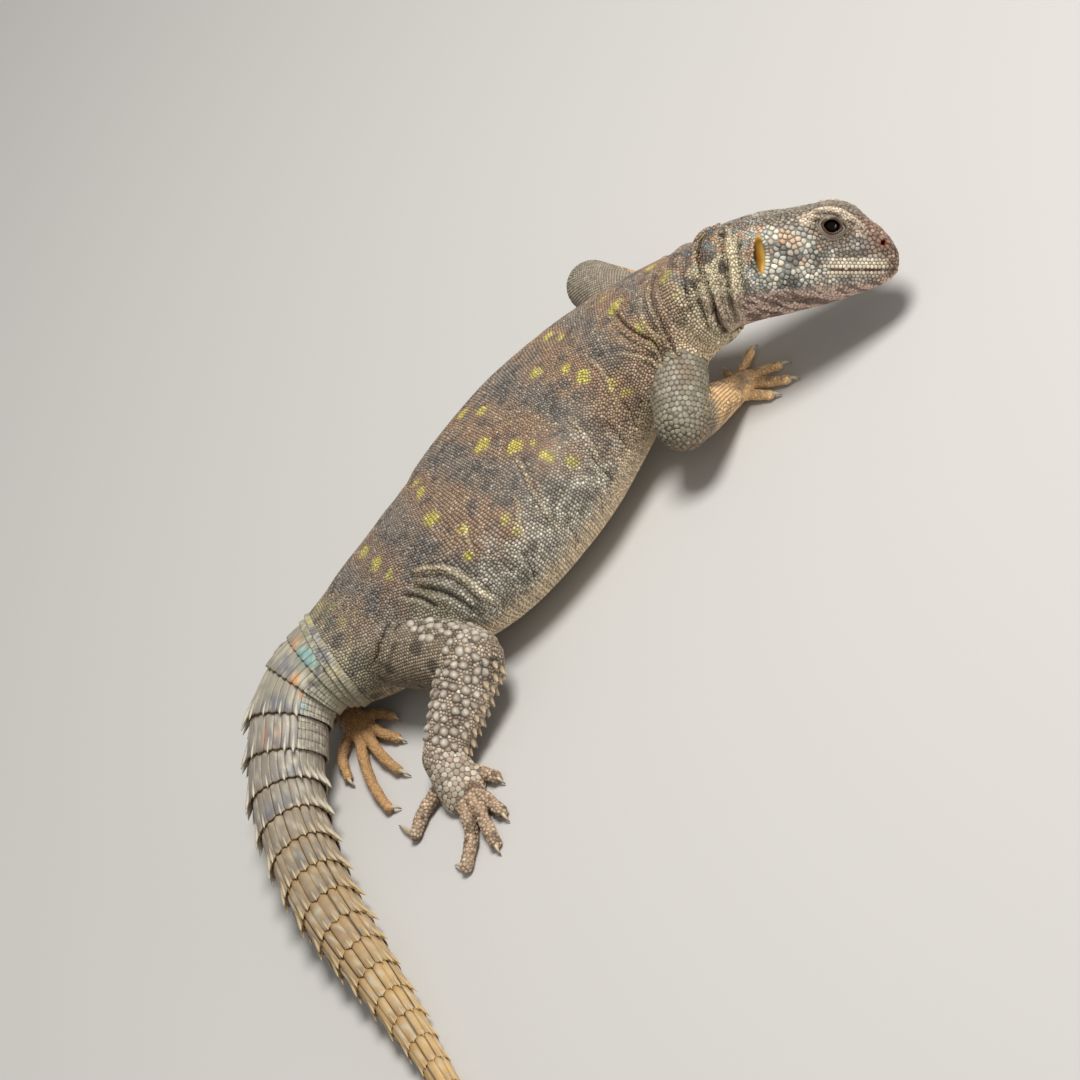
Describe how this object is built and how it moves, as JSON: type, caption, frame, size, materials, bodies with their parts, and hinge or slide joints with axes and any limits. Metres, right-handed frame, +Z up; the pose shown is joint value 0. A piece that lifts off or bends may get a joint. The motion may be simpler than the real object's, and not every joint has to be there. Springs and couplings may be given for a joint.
{
  "type": "uromastyx",
  "caption": "Still, life-size spiny-tailed lizard lying on its belly, head turned right and down, ringed spiny tail curled to its right.",
  "frame": {"origin": "on the floor, under the middle of the whole animal's bounding box", "axes": "+X along the trunk towards the head, +Y to the animal's left, +Z up"},
  "size_m": [0.2132, 0.1825, 0.0408],
  "materials": {
    "body_scales": "matt, finely granular scales",
    "head_scales": "matt pebbled scales",
    "tail_scales": "satin horny rings",
    "leg_scales": "matt scales with pale tubercles",
    "foot_scales": "matt fine scales",
    "eyes": "wet gloss"
  },
  "bodies": {
    "root": {"head": "head_scales", "eye_left": "eyes", "eye_right": "eyes", "neck": "body_scales", "torso": "body_scales", "tail_1": "tail_scales", "tail_2": "tail_scales", "tail_3": "tail_scales", "tail_4": "tail_scales", "tail_5": "tail_scales", "upper_arm_left": "leg_scales", "upper_arm_right": "leg_scales", "forearm_left": "leg_scales", "forearm_right": "leg_scales", "hand_left": "foot_scales", "hand_right": "foot_scales", "thigh_left": "leg_scales", "thigh_right": "leg_scales", "shank_left": "leg_scales", "shank_right": "leg_scales", "foot_left": "foot_scales", "foot_right": "foot_scales"}
  },
  "joints": []
}
